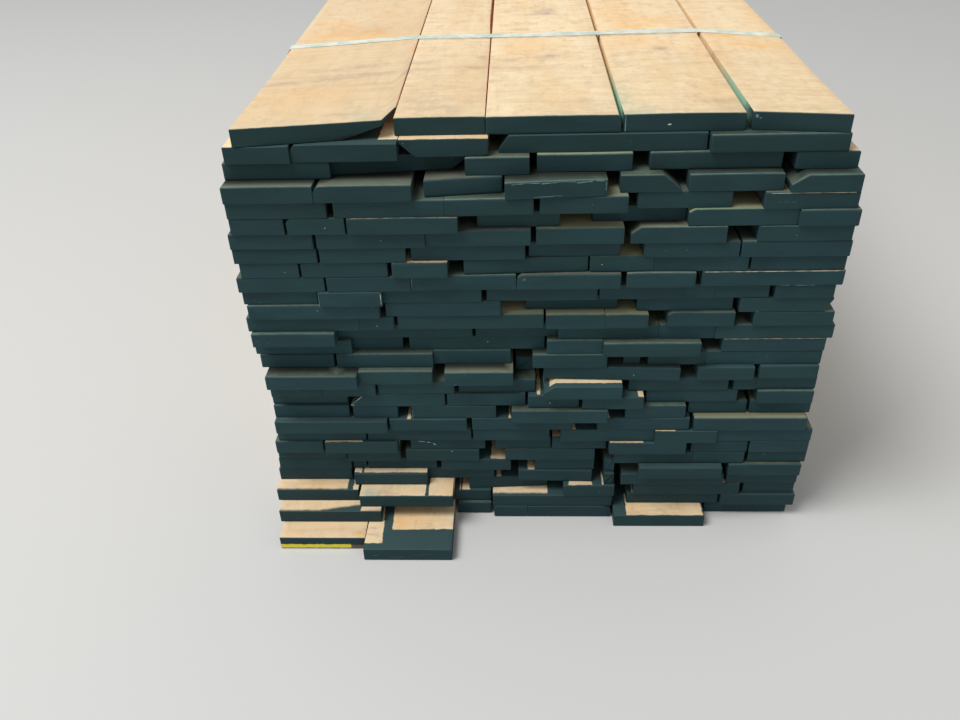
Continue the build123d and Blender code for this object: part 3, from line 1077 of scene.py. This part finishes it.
def with_marks(t, at, colour):
    """The wood with stains, smudges, the near strap's painted shadow and overspray, weathered towards the
    top boards' ends.
    """
    blot = t.ramp(at.cloud, 0.35, 0.65, 0.35, 1.0)
    colour = t.mix(t.times(at.amber, blot, 0.85), colour, AMBER_STAIN)
    colour = t.mix(t.times(at.smudge, blot, 0.9), colour, GREY_SMUDGE_AND_SHADOW)
    colour = t.mix(t.times(at.overspray, blot, 0.85), colour, SPRAY_PALE)
    weathered = t.times(t.ramp(at.nearest, *WEATHER_FADE, 0.42, 0.0), blot, at.on_top)
    return t.mix(weathered, colour, WEATHERED)


def spray_colour(t, at):
    """The spray's colour, from dark teal by grey-green to cream."""
    spray = t.mix(t.ramp(at.shade, 0, 0.5, smooth=False), SPRAY_DARK, SPRAY)
    return t.mix(t.ramp(at.shade, 0.5, 1, smooth=False), spray, SPRAY_CREAM)


def with_spray(t, at, colour, spray):
    """A haze where the spray reached, thinner with the distance from the end."""
    spread = t.ramp(t.math("DIVIDE", at.nearest, at.reach), 0.2, 1.0, 1.0, 0.12)
    haze = t.times(spread, at.haze, t.ramp(at.cloud, 0.25, 0.6, 0.94, 1.0))
    return t.mix(haze, colour, spray)


def with_painted_ledge_shade(t, at, colour):
    """Painted shade: a deep ledge gets dark towards the board above it, except where the spray is creamy.
    """
    dirt = t.times(t.ramp(at.inward, 0.12, 0.85), t.ramp(at.nearest, *LEDGE_SHADE_FADE, 1.0, 0.0))
    return t.mix(t.times(dirt, at.dirty, t.without(at.creamy), 0.94, at.haze), colour, LEDGE_SHADE_COLOUR)


def with_front_edge(t, at, colour):
    """The thin pale line along the front edge, or a greener fringe where the spray is creamy."""
    strength = t.times(t.math("ADD", t.times(at.haze, at.rim), t.times(at.on_top, 0.45)), 0.8)
    rim = t.times(t.ramp(at.nearest, *RIM_FADE, 1.0, 0.0), strength, t.without(at.creamy))
    fringe = t.times(t.ramp(at.nearest, *FRINGE_FADE, 0.85, 0.0), at.creamy)
    return t.mix(fringe, t.mix(rim, colour, SPRAY_RIM), SPRAY_FRINGE)


def side_colour(t, at, colour, spray, along_side):
    """A board's sides: reddish in places, that red painted bright for the light on the seam walls, with a
    wash of spray behind the solid sealer.
    """
    reddish_side = t.mix(t.times(at.reddish, 0.9), colour, WOOD_RED_PAINTED_LIGHT)
    strength = t.math("ADD", t.times(at.on_top, 0.5), 0.5)
    wash = t.times(t.ramp(along_side, 0.5, 1.8, 0.85, 0.0), strength)
    return t.mix(wash, reddish_side, t.mix(at.on_top, spray, SPRAY_TEAL))


def window_cover(t, own, soft):
    """How bare the top is at each point, from the distances into its windows."""
    wobble = t.waver(own, (60, 60, 60), WINDOW_WAVER)
    bare = None
    for label in WINDOW_NAMES:
        left, right, ahead = t.split(t.read(label))
        front = t.math("DIVIDE", t.math("ADD", ahead, wobble), soft)
        across = t.math("ADD", t.math("MINIMUM", left, right), wobble)
        one = t.ramp(t.math("MINIMUM", across, front), *WINDOW_EDGE)
        bare = one if bare is None else t.math("MAXIMUM", bare, one)
    return bare


def sealer_cover(t, at, along_side):
    """Where the sealer is solid: round the bare windows, on the edges at the ends, and along the sides."""
    bare_top = t.times(window_cover(t, at.own, at.soft), t.ramp(at.far, *FAR_COAT))
    usual = t.ramp(along_side, 0.4, 1.1, 1.0, 0.0)
    side = t.blend(at.on_top, usual, t.ramp(along_side, 0.02, 0.45, 1.0, 0.0))
    cover = t.blend(at.upward, side, t.without(bare_top))
    return t.math("MAXIMUM", cover, t.ramp(at.nearest, *EDGE_COAT, 1.0, 0.0))


def board_body_material():
    """Sawn wood on tops and sides, with spray and painted shade where it lies open, and sealer near the
    ends.
    """
    t = Tree("board_wood")
    at = board_readings(t)
    colour, fibre = wood_colour(t, at.own, at.tone)
    spray = spray_colour(t, at)
    colour = with_marks(t, at, colour)
    colour = with_spray(t, at, colour, spray)
    colour = with_painted_ledge_shade(t, at, colour)
    colour = with_front_edge(t, at, colour)

    ragged = t.ramp(t.noise(at.own, (40, 25, 90), 3, 0.6), 0.25, 0.75, 0.6, 1.3)
    along_side = t.math("DIVIDE", at.nearest, t.times(at.side_lap, ragged))
    colour = t.mix(at.upward, side_colour(t, at, colour, spray, along_side), colour)
    # Upward faces of the sealer are lightened: painted light from above
    sealer = t.mix(t.times(at.upward, 0.25), sealer_colour(t, at.own, at.tone), SEALER_PAINTED_LIGHT)
    colour = t.mix(sealer_cover(t, at, along_side), colour, sealer)

    saw = t.noise(at.own, (8, 700, 8), 2, 0.6)
    relief = t.math("ADD", t.times(fibre, 0.5), t.times(saw, 0.5))
    return t.finish(Base_Color=colour, Roughness=t.ramp(fibre, 0.3, 0.7, 0.66, 0.85),
                    Normal=t.bump(relief, 0.0006), Specular_IOR_Level=0.3)


def strap_material():
    """Pale green plastic band with a fine embossing."""
    t = Tree("strap_band")
    place = t.add("TexCoord").outputs["Object"]
    cloud = t.noise(place, (30, 30, 30), 3, 0.6)
    colour = t.mix(t.ramp(cloud, 0.35, 0.7), STRAP_PALE, STRAP_GREEN)
    emboss = t.noise(place, (900, 900, 900), 1, 0.5)
    return t.finish(Base_Color=colour, Roughness=0.38, Normal=t.bump(emboss, 0.0003, 0.5))


def plain_material(name, colour, roughness):
    """One even colour, for the flakes and the floor."""
    return Tree(name).finish(Base_Color=colour, Roughness=roughness)


# The stack

wood = board_body_material()
sealed = board_end_material()
boards_by_course = {}
for course in range(1, COURSES + 1):
    node = f"course_{COURSES + 1 - course:02d}"
    boards_by_course[course] = read_boards(node)
    above = boards_by_course.get(course - 1, [])
    piece = build_course(f"boards_{node}", boards_by_course[course], above, course, (wood, sealed))
    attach(piece, "root")
    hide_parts(node)

kinds = {kind: plain_material(f"flake_{kind}", colour, roughness=0.7)
         for kind, colour in FLAKE_COLOURS.items()}
flakes = build_flakes(boards_by_course, kinds)
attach(flakes, "root")

band = strap_material()
for name in STRAYS:
    piece = make_strap(name, band)
    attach(piece, "root")
    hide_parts(name)


# Floor, light and camera

def make_floor():
    """A plain pale floor."""
    bpy.ops.mesh.primitive_plane_add(size=160)
    ground = bpy.context.object
    ground.name = "ground_plane"
    ground.data.materials.append(plain_material("floor_plain", FLOOR, roughness=0.9))
    return ground


def make_world(strength):
    """An even white light from all round."""
    world = bpy.data.worlds.new("studio")
    bpy.context.scene.world = world
    world.use_nodes = True
    sky = world.node_tree.nodes["Background"].inputs
    sky["Color"].default_value = (1, 1, 1, 1)
    sky["Strength"].default_value = strength


def make_lamp(place, target, size, power):
    """A large soft square lamp that faces its target."""
    light = bpy.data.lights.new("key", "AREA")
    light.size = size
    light.energy = power
    holder = bpy.data.objects.new("key", light)
    bpy.context.scene.collection.objects.link(holder)
    holder.location = place
    holder.rotation_mode = "QUATERNION"
    holder.rotation_quaternion = (target - place).to_track_quat("-Z", "Y")


def make_camera(place, right, up, back, lens):
    """A camera where the photographer stood, with its own three directions."""
    data = bpy.data.cameras.new("camera")
    data.sensor_width = 36
    data.lens = lens
    camera = bpy.data.objects.new("camera", data)
    bpy.context.scene.collection.objects.link(camera)
    camera.matrix_world = Matrix.Translation(place) @ Matrix((right, up, back)).transposed().to_4x4()
    return camera


make_floor()
make_world(strength=0.46)
make_lamp(place=Vector((-4.0, -3.4, 8.5)), target=Vector((0, -0.7, 0.5)), size=4.5, power=725)
bpy.context.scene.camera = make_camera(
    place=(-0.0361, -2.748, 1.2590),
    right=(0.99912, 0.03116, -0.02871),
    up=(0.00586, 0.56938, 0.82206),
    back=(0.04196, -0.82150, 0.56868),
    lens=32.625,
)
bpy.context.scene.view_settings.view_transform = "Standard"
